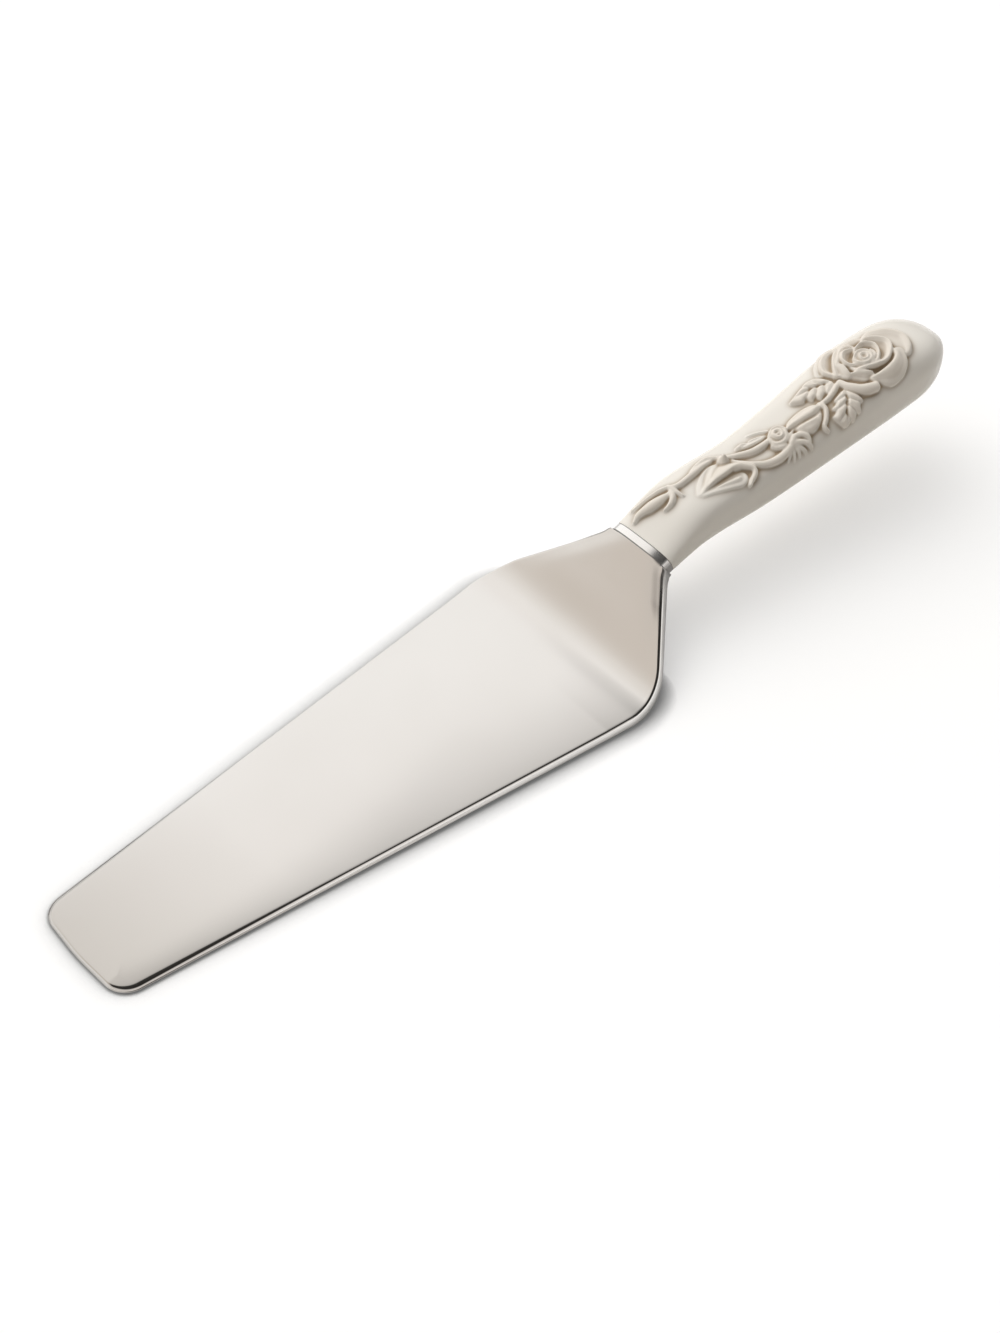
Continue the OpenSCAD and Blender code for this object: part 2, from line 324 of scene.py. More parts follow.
def figure(tree, sign, *values):
    """Result of one sum on numbers or sockets."""
    return add(tree, "ShaderNodeMath", dict(enumerate(values)), operation=sign).outputs[0]


def share_from(tree, value, start, end):
    """Share that grows from 0 to 1 as a value goes from start to end."""
    return add(tree, "ShaderNodeMapRange", {"Value": value, "From Min": start, "From Max": end}).outputs[0]


def place_on(tree):
    """Place on a piece, in metres of the shared frame."""
    return tree.nodes.new("ShaderNodeTexCoord").outputs["Object"]


def painted(tree, name):
    """Values that were painted on the points of a piece."""
    return add(tree, "ShaderNodeAttribute", {}, attribute_name=name).outputs["Fac"]


def blend(tree, share, first, second):
    """Colour between two colours."""
    return add(tree, "ShaderNodeMix", {0: share, 6: first, 7: second}, data_type="RGBA").outputs[2]


def polished_steel(name, light, dark, smooth, coarse):
    """Stainless steel with faint lines from the polishing wheel and a slightly uneven shine."""
    material, tree, shader = new_material(name)
    place = place_on(tree)
    stretched = add(tree, "ShaderNodeMapping", {"Vector": place, "Scale": (60, 2600, 2600)})
    lines = add(tree, "ShaderNodeTexNoise", {"Vector": stretched.outputs[0], "Scale": 1, "Detail": 3})
    clouds = add(tree, "ShaderNodeTexNoise", {"Vector": place, "Scale": 45, "Detail": 2})
    tree.links.new(blend(tree, clouds.outputs[0], dark, light), shader.inputs["Base Color"])
    shine = add(tree, "ShaderNodeMapRange", {"Value": lines.outputs[0], "To Min": smooth, "To Max": coarse})
    tree.links.new(shine.outputs[0], shader.inputs["Roughness"])
    grain = add(tree, "ShaderNodeBump", {"Height": lines.outputs[0], "Strength": 0.03, "Distance": 0.01 * MM})
    tree.links.new(grain.outputs[0], shader.inputs["Normal"])
    shader.inputs["Metallic"].default_value = 1
    return material, tree, shader


blade_steel, tree, shader = polished_steel(
    "blade_steel", light=(0.84, 0.82, 0.8, 1), dark=(0.8, 0.78, 0.755, 1), smooth=0.06, coarse=0.11
)
# The steel is painted darker towards the tip, a painted dimmer reflection there
DIM_TIP_LEN = 45
DIM_TIP_STEEL = (0.64, 0.615, 0.585, 1)
from_tip = add(tree, "ShaderNodeSeparateXYZ", {0: place_on(tree)}).outputs[0]
dim_tip = share_from(tree, from_tip, (DIM_TIP_LEN - HALF_LEN) * MM, -HALF_LEN * MM)
tone = blend(tree, dim_tip, shader.inputs["Base Color"].links[0].from_socket, DIM_TIP_STEEL)
# The ground foot of the wall, darker partly as ground steel and partly as painted shade, and the painted
# shade on the steel by the neck
GROUND_AND_SHADE_STEEL = (0.5, 0.485, 0.465, 1)
NECK_SHADE_STEEL = (0.28, 0.27, 0.26, 1)
GROUND_SHINE = 0.3
# Share of ground steel and painted shade, as painted on the plate's points
ground_and_shade = painted(tree, "ground_and_shade")
tone = blend(tree, ground_and_shade, tone, GROUND_AND_SHADE_STEEL)
tone = blend(tree, figure(tree, "SUBTRACT", ground_and_shade, 1), tone, NECK_SHADE_STEEL)
tree.links.new(tone, shader.inputs["Base Color"])
shine = shader.inputs["Roughness"].links[0].from_socket
shine = add(tree, "ShaderNodeMix", {0: ground_and_shade, 2: shine, 3: GROUND_SHINE}, data_type="FLOAT")
tree.links.new(shine.outputs[0], shader.inputs["Roughness"])
blade.data.materials.append(blade_steel)
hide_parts("blade")
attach(blade, "root")

# Tang
# The slim end of the same forging, which runs back from the neck through the collar into the handle.
# It tapers towards its end and is held by the cement, so nothing of it shows.
TANG_W = 7
TANG_END_W = 4.5
TANG_T = 2.6
TANG_LEN = 64
TANG_ROOT = 3
TANG_TILT = math.radians(7)
TANG_SQUARE = 5
TANG_POINTS = 32
# Place along the tang and scale of each ring: its two ends are closed, and the far one is rounded
TANG_STATIONS = (
    (-TANG_ROOT, 0), (-TANG_ROOT, 1), (0, 1), (TANG_LEN / 2, 1),
    (TANG_LEN - 1, 1), (TANG_LEN, 0.6), (TANG_LEN, 0),
)
NECK_MID = np.array([
    NECK_X + NECK_T / 2 * math.sin(COLLAR_TILT), 0, NECK_TOP - NECK_T / 2 * math.cos(COLLAR_TILT),
])


def squared_ring(width, height, squareness, count):
    """Rounded section in (y, z)."""
    turn = np.linspace(0, 2 * math.pi, count, endpoint=False)
    c, s = np.cos(turn), np.sin(turn)
    reach = (abs(c) ** squareness + abs(s) ** squareness) ** (-1 / squareness)
    return np.stack([width / 2 * reach * c, height / 2 * reach * s], 1)


tang_rings = []
c, s = math.cos(TANG_TILT), math.sin(TANG_TILT)
for back, scale in TANG_STATIONS:
    share = np.clip(back / TANG_LEN, 0, 1)
    width = TANG_W + (TANG_END_W - TANG_W) * share
    y, z = (squared_ring(width, TANG_T, TANG_SQUARE, TANG_POINTS) * scale).T
    tang_rings.append(NECK_MID + np.column_stack([back * c - z * s, y, back * s + z * c]))
tang = mesh_piece("tang_bar", np.vstack(tang_rings), ring_faces(len(tang_rings), TANG_POINTS))
tang.data.materials.append(blade_steel)
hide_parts("blade")
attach(tang, "root")

# Collar
# A narrow polished steel band between the neck and the handle, slipped over the tang.
# Its section is a rounded oblong, pushed straight back, with small rounded rims.
COLLAR_W = 18.4
COLLAR_T = 6.8
COLLAR_LEN = 2.2
COLLAR_SQUARE = 3.2
COLLAR_RIM_R = 0.15
COLLAR_AXIS = (math.cos(COLLAR_TILT), 0, math.sin(COLLAR_TILT))


def geometry_tree(name, inputs):
    """Empty node group with named sizes, and its input and output nodes."""
    tree = bpy.data.node_groups.new(name, "GeometryNodeTree")
    tree.interface.new_socket("Geometry", in_out="OUTPUT", socket_type="NodeSocketGeometry")
    for key, kind in inputs.items():
        tree.interface.new_socket(key, in_out="INPUT", socket_type=kind)
    return tree, tree.nodes.new("NodeGroupInput").outputs, tree.nodes.new("NodeGroupOutput")


def made_by_tree(name, tree, values):
    """Plain mesh object from a node group, with its inputs set."""
    maker = bpy.data.objects.new(name + "_maker", bpy.data.meshes.new(name + "_maker"))
    bpy.context.scene.collection.objects.link(maker)
    modifier = maker.modifiers.new("made", "NODES")
    modifier.node_group = tree
    for item in tree.interface.items_tree:
        if item.in_out == "INPUT":
            modifier[item.identifier] = values[item.name]
    ready = maker.evaluated_get(bpy.context.evaluated_depsgraph_get())
    piece = bpy.data.objects.new(name, bpy.data.meshes.new_from_object(ready))
    bpy.context.scene.collection.objects.link(piece)
    bpy.data.objects.remove(maker)
    return piece


number = "NodeSocketFloat"
tree, size, result = geometry_tree("collar_band", {
    "Width": number, "Height": number, "Length": number, "Squareness": number, "Rim radius": number,
    "Place": "NodeSocketVector", "Turn": "NodeSocketVector", "Steel": "NodeSocketMaterial",
})
half_w, half_h = figure(tree, "DIVIDE", size["Width"], 2), figure(tree, "DIVIDE", size["Height"], 2)
# The section: a circle pulled out to a rounded oblong
circle = add(tree, "GeometryNodeCurvePrimitiveCircle", {"Resolution": 160, "Radius": 1})
spot = add(tree, "ShaderNodeSeparateXYZ", {0: tree.nodes.new("GeometryNodeInputPosition").outputs[0]}).outputs
powers = [figure(tree, "POWER", figure(tree, "ABSOLUTE", spot[axis]), size["Squareness"]) for axis in (0, 1)]
flatter = figure(tree, "DIVIDE", -1, size["Squareness"])
reach = figure(tree, "POWER", figure(tree, "ADD", *powers), flatter)
across = figure(tree, "MULTIPLY", figure(tree, "MULTIPLY", spot[0], reach), half_w)
upright = figure(tree, "MULTIPLY", figure(tree, "MULTIPLY", spot[1], reach), half_h)
oblong = add(tree, "ShaderNodeCombineXYZ", {0: across, 1: upright})
section = add(tree, "GeometryNodeSetPosition", {"Geometry": circle.outputs[0], "Position": oblong.outputs[0]})
# The section is pushed along the collar's own axis
end = add(tree, "ShaderNodeCombineXYZ", {2: size["Length"]})
core = add(tree, "GeometryNodeCurvePrimitiveLine", {"End": end.outputs[0]})
steps = add(tree, "GeometryNodeResampleCurve", {"Curve": core.outputs[0], "Count": 31})
band = add(tree, "GeometryNodeCurveToMesh", {
    "Curve": steps.outputs[0], "Profile Curve": section.outputs[0], "Fill Caps": True,
})
# Both rims are rounded: the nearer a ring lies to an end, the more it draws in
depth = figure(tree, "MINIMUM", spot[2], figure(tree, "SUBTRACT", size["Length"], spot[2]))
near_end = figure(tree, "SUBTRACT", 1, figure(tree, "DIVIDE", depth, size["Rim radius"]))
near_end = figure(tree, "MINIMUM", figure(tree, "MAXIMUM", near_end, 0), 1)
height = figure(tree, "SQRT", figure(tree, "SUBTRACT", 1, figure(tree, "MULTIPLY", near_end, near_end)))
draw_in = figure(tree, "MULTIPLY", figure(tree, "SUBTRACT", 1, height), size["Rim radius"])
drawn = [
    figure(tree, "MULTIPLY", spot[axis], figure(tree, "SUBTRACT", 1, figure(tree, "DIVIDE", draw_in, half)))
    for axis, half in ((0, half_w), (1, half_h))
]
drawn = add(tree, "ShaderNodeCombineXYZ", {0: drawn[0], 1: drawn[1], 2: spot[2]})
rounded = add(tree, "GeometryNodeSetPosition", {"Geometry": band.outputs[0], "Position": drawn.outputs[0]})
smooth = add(tree, "GeometryNodeSetShadeSmooth", {"Geometry": rounded.outputs[0]})
placed = add(tree, "GeometryNodeTransform", {
    "Geometry": smooth.outputs[0], "Translation": size["Place"], "Rotation": size["Turn"],
})
real = add(tree, "GeometryNodeRealizeInstances", {"Geometry": placed.outputs[0]})
steel = add(tree, "GeometryNodeSetMaterial", {"Geometry": real.outputs[0], "Material": size["Steel"]})
tree.links.new(steel.outputs[0], result.inputs[0])


def reach_along(tree, place, axis):
    """How far a place lies along an axis."""
    return add(tree, "ShaderNodeVectorMath", {0: place, 1: axis}, operation="DOT_PRODUCT").outputs["Value"]


collar_steel, collar_tree, shader = polished_steel(
    "collar_steel", light=(0.97, 0.96, 0.95, 1), dark=(0.94, 0.93, 0.92, 1), smooth=0.18, coarse=0.24
)
# The steel is painted darker at both rims, a painted shade in the joints, and on the narrow sides, a painted
# dark reflection. The darkening is full at one distance, from the rim or from the middle, and ends at the
# other
JOINT_AND_SIDE_SHADE = (0.2, 0.19, 0.18, 1)
RIM_FULL, RIM_END = 0.1, 0.25
SIDE_FULL, SIDE_END = 9.1, 8.4
place = place_on(collar_tree)
start = float(np.dot(in_frame(NECK_MID), COLLAR_AXIS))
far = figure(collar_tree, "SUBTRACT", reach_along(collar_tree, place, COLLAR_AXIS), start)
inside = figure(collar_tree, "MINIMUM", far, figure(collar_tree, "SUBTRACT", COLLAR_LEN * MM, far))
unshaded = share_from(collar_tree, inside, RIM_FULL * MM, RIM_END * MM)
sideways = figure(collar_tree, "ABSOLUTE", add(collar_tree, "ShaderNodeSeparateXYZ", {0: place}).outputs[1])
facing = share_from(collar_tree, sideways, SIDE_FULL * MM, SIDE_END * MM)
unshaded = figure(collar_tree, "MULTIPLY", unshaded, facing)
bright = shader.inputs["Base Color"].links[0].from_socket
collar_tree.links.new(blend(collar_tree, unshaded, JOINT_AND_SIDE_SHADE, bright), shader.inputs["Base Color"])
collar = made_by_tree("collar_band", tree, {
    "Width": COLLAR_W * MM, "Height": COLLAR_T * MM, "Length": COLLAR_LEN * MM, "Squareness": COLLAR_SQUARE,
    "Rim radius": COLLAR_RIM_R * MM, "Place": in_frame(NECK_MID),
    "Turn": (math.pi / 2 - COLLAR_TILT, 0, math.pi / 2), "Steel": collar_steel,
})
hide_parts("collar")
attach(collar, "root")

# Cement
# The filler that holds the tang in the handle's socket, poured in and left to set.
# It is a pale grey gritty mass, wholly hidden inside the handle.
DARK_GRIT = (0.42, 0.41, 0.39, 1)
PALE_GRIT = (0.62, 0.61, 0.59, 1)
filler, tree, shader = new_material("cement")
grit = add(tree, "ShaderNodeTexNoise", {"Vector": place_on(tree), "Scale": 900, "Detail": 6})
mottle = blend(tree, grit.outputs[0], DARK_GRIT, PALE_GRIT)
tree.links.new(mottle, shader.inputs["Base Color"])
bumps = add(tree, "ShaderNodeBump", {"Height": grit.outputs[0], "Strength": 0.4, "Distance": 0.2 * MM})
tree.links.new(bumps.outputs[0], shader.inputs["Normal"])
shader.inputs["Roughness"].default_value = 0.9
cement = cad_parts["cement"]
cement.data.materials.clear()
cement.data.materials.append(filler)

# Handle
# One cast and glazed ivory ceramic piece with a socket for the tang, butted against the collar.
# The rose spray on its top is cast in one with it: height is laid on a map of the skin, which then swells.
HANDLE_LEN = 98.5
# Length and fullness of the rounded butt
BUTT_ROUND = 16
BUTT_FULLNESS = 2.2
# How square the sections are, and where they start to change towards the butt
HANDLE_SQUARE = 3.5
BUTT_SQUARE = 2.8
BUTT_FROM = 72
# Stretch over which the sections turn upright from the collar's tilt
TILT_LEN = 34
# Place along the handle, rise of the centre, width and thickness
STATIONS = np.array([
    (0, 0, COLLAR_W, COLLAR_T),
    (12, 4, 18.2, 11.4),
    (34, 4.3, 18, 13.2),
    (72, 9.9, 21.4, 16.6),
    (HANDLE_LEN, 11, 21, 15.5),
])
HANDLE_START = NECK_MID + COLLAR_LEN * np.array(COLLAR_AXIS)

# The map of the skin: distance from the collar, and distance round from the middle of the top
CELL = 0.1
MAP_HALF = 16
map_x, map_s = np.meshgrid(np.arange(0, HANDLE_LEN, CELL), np.arange(-MAP_HALF, MAP_HALF + CELL, CELL))
relief = np.zeros_like(map_x)


def patch(points, margin):
    """The part of the map round some points."""
    low = np.min(points, 0)[:2] - margin
    high = np.max(points, 0)[:2] + margin
    x0, x1 = (max(0, int(v / CELL)) for v in (low[0], high[0]))
    s0, s1 = (max(0, int((v + MAP_HALF) / CELL)) for v in (low[1], high[1]))
    return np.s_[s0:s1, x0:x1]


def smooth_path(points, closed=False, fine=12):
    """Smooth curve through points, with all of their columns."""
    p = np.array(points, float)
    before, after = (p[-1:], p[:2]) if closed else (2 * p[:1] - p[1:2], 2 * p[-1:] - p[-2:-1])
    p = np.vstack([before, p, after])
    k = np.linspace(0, 1, fine, endpoint=False)[:, None]
    spans = [
        0.5 * (2 * b + (c - a) * k + (2 * a - 5 * b + 4 * c - d) * k**2 + (3 * b - a - 3 * c + d) * k**3)
        for a, b, c, d in zip(p, p[1:], p[2:], p[3:])
    ]
    return np.vstack(spans + [p[-2:-1]])


def gaps_to(path, area):
    """Distance of each place in an area from each point of a path."""
    return np.hypot(map_x[area][..., None] - path[:, 0], map_s[area][..., None] - path[:, 1])


def within(path, area):
    """The places in an area that a closed path goes round."""
    x, s = map_x[area], map_s[area]
    odd = np.zeros(x.shape, bool)
    for a, b in zip(path, path[1:]):
        crossed = (a[1] > s) != (b[1] > s)
        odd ^= crossed & (x < a[0] + (s - a[1]) * (b[0] - a[0]) / (b[1] - a[1] + 1e-9))
    return odd


def lay(area, height):
    """Lays a form on the map, where the higher one wins."""
    relief[area] = np.maximum(relief[area], height)


def stem(points, lift=0.2):
    """Round stem through points of (x, s, radius)."""
    path = smooth_path(points)
    area = patch(path, 2)
    gaps = gaps_to(path, area)
    near = gaps.argmin(-1)
    gap, r = gaps.min(-1), path[near, 2]
    lay(area, np.where(gap < r, lift + np.sqrt(np.maximum(r * r - gap * gap, 0)), 0))


def petal(crest, depth=0, width=1.2, roll=0.5):
    """Cupped petal inside a closed crest of (x, s, height), with a rolled wall outside it."""
    path = smooth_path(crest, closed=True)
    area = patch(path, roll + CELL)
    gaps = gaps_to(path, area)
    # A place takes its height from the nearest points of the crest
    pull = (gaps**2 + 0.03) ** -1.5
    top = (pull * path[:, 2]).sum(-1) / pull.sum(-1)
    gap = gaps.min(-1)
    cup = top - depth * (1 - np.exp(-((gap / width) ** 2)))
    wall = top * np.sqrt(np.maximum(1 - (gap / roll) ** 2, 0))
    lay(area, np.where(within(path, area), cup, wall))


def blade_of_leaf(edge, height, swell):
    """Domed leaf inside a closed edge of (x, s)."""
    path = smooth_path(edge, closed=True)
    area = patch(path, CELL)
    rise = np.clip(gaps_to(path, area).min(-1) / swell, 0, 1)
    lay(area, np.where(within(path, area), height * np.sqrt(1 - (1 - rise) ** 2), 0))


def groove(points, width):
    """Cuts a groove along points of (x, s, depth)."""
    path = smooth_path(points)
    area = patch(path, 3 * width)
    gaps = gaps_to(path, area)
    cut = path[gaps.argmin(-1), 2] * np.exp(-((gaps.min(-1) / width) ** 2))
    relief[area] = np.maximum(relief[area] - np.minimum(cut, relief[area]), 0)


VEIN_W = 0.25
VEIN_DEPTH = 0.5


def veins(pairs):
    """Straight fine grooves, each from its root to its tip."""
    for root, tip in pairs:
        middle = ((root[0] + tip[0]) / 2, (root[1] + tip[1]) / 2)
        groove([(*spot, VEIN_DEPTH) for spot in (root, middle, tip)], VEIN_W)


def thorn(x, s, radius, height):
    """Pointed cone."""
    gap = np.hypot(map_x - x, map_s - s)
    lay(np.s_[:, :], height * np.clip(1 - gap / radius, 0, 1))


def ring(x, s, radius, thick, lift):
    """Round stem closed to a ring."""
    turns = np.linspace(0, 2 * math.pi, 13)
    stem([(x + radius * math.cos(a), s + radius * math.sin(a), thick) for a in turns], lift)


# Petals of the rose, the outermost first
petal([(79, 5.2, 1.1), (81, 4.2, 1.3), (82.2, 3.6, 1.4), (83.2, 2.8, 1.4), (84.2, 1.4, 1.4),
       (85, -0.8, 1.4), (84.4, -3, 1.3), (83.2, -4.8, 1.2), (81.2, -6, 1), (78, -5, 0.8), (75, 0, 0.8),
       (76, 4, 1)], depth=0.6, width=1.5, roll=0.7)
petal([(70, 8.2, 0.6), (67.2, 9, 0.7), (64.9, 8.3, 0.7), (62.8, 6.9, 0.7), (61.4, 5.6, 0.7),
       (60.3, 3.8, 0.5), (62, 3, 0.3), (65, 5, 0.3), (69, 7, 0.3)], depth=0.3, width=0.6)
petal([(76.6, 4, 1.1), (75.4, 5, 1.3), (74, 5.7, 1.4), (71.6, 6, 1.5), (69.9, 5.9, 1.4), (70, 3, 0.9),
       (75, 2, 0.9)], depth=0.6)
petal([(71, 6.3, 1.2), (68.9, 6.8, 1.3), (67.2, 7.4, 1.3), (65.3, 7.1, 1.3), (63.6, 6, 1.3),
       (62.4, 4.8, 1.3), (61.8, 3.4, 1.3), (61.9, 2.4, 1.3), (62.3, 1.2, 1.3), (62.8, -0.2, 1),
       (65, 0, 0.6), (70, 3, 0.6)], depth=0.9, width=1)
petal([(72, 5.4, 1.4), (70.2, 5.5, 1.7), (68.8, 5.8, 1.8), (67.3, 5.3, 1.8), (65.7, 4, 1.8),
       (64.1, 2.3, 1.8), (63.2, 0.9, 1.7), (62.8, -0.3, 1.5), (65, -1, 0.9), (68, 0, 0.9), (72, 2, 0.9)],
      depth=0.7, width=0.8, roll=0.4)
petal([(72.2, 3.8, 1.7), (71.1, 4.8, 2), (69.5, 5, 2.1), (68.1, 4.5, 2.1), (66.6, 3.4, 2.1), (65.5, 2.3, 2),
       (66, 0.5, 1.2), (68, 0, 1), (72, 1, 1)], depth=0.8, width=0.7, roll=0.4)
petal([(65.5, 2.2, 1.8), (64.3, 1.8, 1.4), (63.6, 0.7, 1.2), (63.3, -0.7, 1.1), (63.9, -1.8, 1),
       (64.8, -2.4, 1.1), (65.3, -1.8, 1.8), (65.8, -0.4, 2), (66, 1.2, 2)], depth=0, width=1, roll=0.4)
petal([(65, -1.8, 1.6), (66, -2.4, 1.9), (67.4, -3.3, 2), (68.6, -4.3, 2), (69.6, -5.2, 1.7),
       (69, -5.8, 0.8), (67.2, -5.6, 0.7), (66, -4, 0.7), (65, -2.6, 0.7)], depth=0, width=1, roll=0.4)
petal([(78.7, -3.8, 1.8), (77.6, -5.3, 2.1), (75.9, -6.2, 2.1), (73.4, -6.6, 2), (70.7, -6.6, 1.8),
       (68.5, -6.3, 1.3), (69.3, -7.4, 1), (70.8, -9, 1), (72.5, -10, 1), (75.1, -9.8, 1), (77, -9, 1.1),
       (78.8, -7.6, 1.2), (79.8, -6, 1.3), (80.4, -4.4, 1.4)], depth=0, width=1, roll=0.7)
petal([(73.6, 3, 2), (75.6, 3.6, 2.3), (77, 3.2, 2.3), (78.2, 2.3, 2.3), (79.2, 1.1, 2.3),
       (79.7, -0.1, 2.3), (79.6, -1.4, 2.3), (78.9, -2.6, 2.3), (77.5, -3.8, 2.3), (75.8, -4.8, 2.3),
       (73.9, -5.2, 2.4), (72.3, -4.9, 2.5), (71, -4.5, 2.5), (69.6, -3.9, 2.5), (68.2, -3.2, 2.4),
       (66.9, -2.3, 2), (66.8, 0, 1.5), (68, 2, 1.4), (71, 3, 1.5)], depth=1.3, width=1.2)
petal([(71.8, 2.7, 2.1), (70.2, 3.6, 2.5), (69, 3.8, 2.6), (67.8, 3.2, 2.6), (66.9, 2.1, 2.6),
       (66.7, 1, 2.5), (66.9, 0, 2.4), (67.6, -1, 2.4), (68.6, -2.2, 2.2), (70, -1, 1.2), (71, 1, 1.2)],
      depth=1.2, width=0.8, roll=0.4)
petal([(70.9, 2.1, 2.2), (72.3, 2.6, 2.7), (73.5, 2.7, 2.9), (74.5, 2.4, 2.9), (75.3, 1.7, 2.9),
       (75.9, 0.7, 2.9), (75.9, -0.4, 2.9), (75.5, -1.5, 2.8), (74.7, -2.6, 2.8), (73.7, -3.4, 2.7),
       (72.3, -4, 2.6), (70.5, -3.5, 2.2), (69, -2, 1.4), (69.5, 0.5, 1.4)], depth=1.8, width=0.8, roll=0.4)
# Its half open middle
petal([(73.6, -0.3, 2.8), (74, -1.4, 2.8), (73.6, -2.4, 2.8), (72.4, -3.2, 2.8), (71, -3.6, 2.6),
       (71, -2, 2), (72.4, -0.8, 2)], depth=0.5, width=0.4, roll=0.3)
petal([(68.7, 0.2, 2.9), (69.8, 0.9, 3), (71, 1.2, 3.1), (72, 0.9, 3.1), (72.7, 0.2, 3.1), (73, -0.8, 3.1),
       (72.8, -1.9, 3.1), (72, -2.8, 3), (70.7, -3.1, 3), (69.5, -2.8, 3), (68.7, -1.9, 3),
       (68.4, -0.8, 2.9)], depth=0.7, width=0.5, roll=0.4)
petal([(70, -0.7, 3.3), (70.6, -0.1, 3.3), (71.4, -0.2, 3.3), (71.9, -0.9, 3.3), (71.8, -1.8, 3.3),
       (71.1, -2.3, 3.3), (70.3, -2.1, 3.3), (69.9, -1.4, 3.3)], depth=0.8, width=0.4, roll=0.4)

# Sepal under the rose, and the stem that runs on from it
stem([(62, -1.8, 1), (62.3, -3.6, 1.15), (63.1, -5.2, 1.3), (64.2, -6.6, 1.35), (66, -7.6, 1.35),
      (67.8, -8.2, 1.2)], lift=0.5)
stem([(62, -1.8, 0.9), (61, -1.9, 0.9), (58.8, -2.6, 0.8), (56.9, -3, 0.75), (55.1, -3, 0.7),
      (54, -2.6, 0.6)], lift=0.4)

# The two leaves below the rose, with their midribs and veins
blade_of_leaf([(61.2, -0.8), (60.8, 1.6), (59.9, 3.2), (58.7, 4.3), (56.6, 4.7), (54.2, 4.2), (52, 3.7),
               (49.8, 3), (50.4, 1.5), (52, 0.5), (53.1, 0.7), (53.8, -0.7), (54.9, -0.6), (55.4, -2.1),
               (57, -1.7), (58.4, -2.3)], height=1.2, swell=1)
groove([(60.4, 0.2, 0.6), (58.6, 1.1, 0.7), (56.9, 1.9, 0.7), (55, 2.4, 0.6), (52, 2.8, 0.3)], width=0.3)
veins((((59.4, 0.8), (57.4, -1.6)), ((57.8, 1.5), (55.2, -0.6)), ((55.9, 2.2), (53.2, 0.6)),
       ((58.4, 1.4), (58, 3.8)), ((56.4, 2.2), (55.2, 4.2))))
blade_of_leaf([(61, -3.8), (59.3, -3.9), (57.4, -4.4), (56.8, -5.4), (55.4, -5.8), (55.2, -7), (54, -7.6),
               (54.4, -9.4), (56, -11.6), (57.6, -11.2), (58.6, -11.9), (59.8, -10.6), (61.2, -11),
               (61.8, -9.4), (63.1, -8.8), (62.7, -6.8), (61.8, -5)], height=1.3, swell=1.2)
groove([(60.7, -4.6, 0.6), (60.2, -6, 0.7), (58.7, -7.4, 0.7), (57.3, -9, 0.6), (56.3, -10.8, 0.3)],
       width=0.3)
veins((((60.3, -5.6), (57, -5.2)), ((59.5, -6.8), (55.4, -6.8)), ((58, -8.2), (55, -9)),
       ((60.1, -6.2), (62, -8.8)), ((59, -7.4), (60, -10.4)), ((57.6, -8.8), (57.8, -11))))

# Pod with a crease along it, and a hooked stem
blade_of_leaf([(54.2, -3.3), (52.9, -1.6), (50.3, -0.7), (47, -0.6), (44.6, -1.1), (43, -2.6), (44.2, -3.8),
               (45.2, -5.6), (46.8, -7.1), (48.8, -7.3), (51.2, -6.5), (53, -4.9)], height=2, swell=2.8)
groove([(53, -4.2, 0.4), (51, -4.6, 0.8), (48.8, -4.3, 0.9), (45.8, -3.7, 0.8), (43.9, -3.2, 0.3)],
       width=0.5)
groove([(52.8, -2.8, 0.1), (50, -2.2, 0.25), (47, -2, 0.25), (44.8, -2.2, 0.1)], width=0.4)
groove([(51.6, -5.4, 0.1), (49.2, -5.8, 0.2), (46.8, -5.4, 0.2)], width=0.4)
stem([(54.4, -3.4, 0.75), (54.1, -4.9, 0.7), (52.5, -6.6, 0.65), (51, -7.6, 0.6), (50.9, -8.5, 0.55),
      (51.4, -9.3, 0.4)], lift=0.6)

# Rosebud with its calyx, a pointed sepal and a fan of fronds
petal([(39.4, -0.7, 1.6), (41, 0, 1.7), (42.4, -0.5, 1.7), (43.2, -2, 1.7), (42.3, -3.6, 1.6),
       (40.4, -4.5, 1.5), (38.5, -3.8, 1.5), (38.2, -2.2, 1.5)], depth=0.5, width=0.5)
ring(40.8, -2.2, radius=1.1, thick=0.45, lift=1.5)
stem([(40.5, -2.2, 0.4), (41, -2.3, 0.4)], lift=1.4)
stem([(37.8, -3.6, 0.7), (38.6, -4.9, 0.8), (40.2, -5.3, 0.7)], lift=0.4)
stem([(41, -4.5, 0.8), (42.4, -4.2, 0.7), (44.4, -3.7, 0.3)], lift=0.6)
stem([(41.6, -5.9, 0.8), (43.4, -5.2, 0.8), (45, -5.8, 0.8), (45.9, -7.1, 0.7), (45.8, -8.2, 0.4)],
     lift=0.6)
stem([(41.7, -6.3, 0.8), (43.2, -6.6, 0.75), (44.6, -7.7, 0.7), (45.4, -9.1, 0.6), (45.6, -10.2, 0.3)],
     lift=0.4)
stem([(41.8, -6.6, 0.7), (42.8, -7.8, 0.6), (43.6, -9.2, 0.5), (43.9, -10.8, 0.2)])
stem([(41.5, -6.8, 0.6), (41.9, -8.2, 0.55), (41.8, -9.8, 0.3)])
stem([(41.1, -6.8, 0.6), (40.5, -8.4, 0.5), (40.2, -9.8, 0.3)])
stem([(40.8, -6.7, 0.6), (39.5, -7.8, 0.5), (38.5, -8.7, 0.3)])

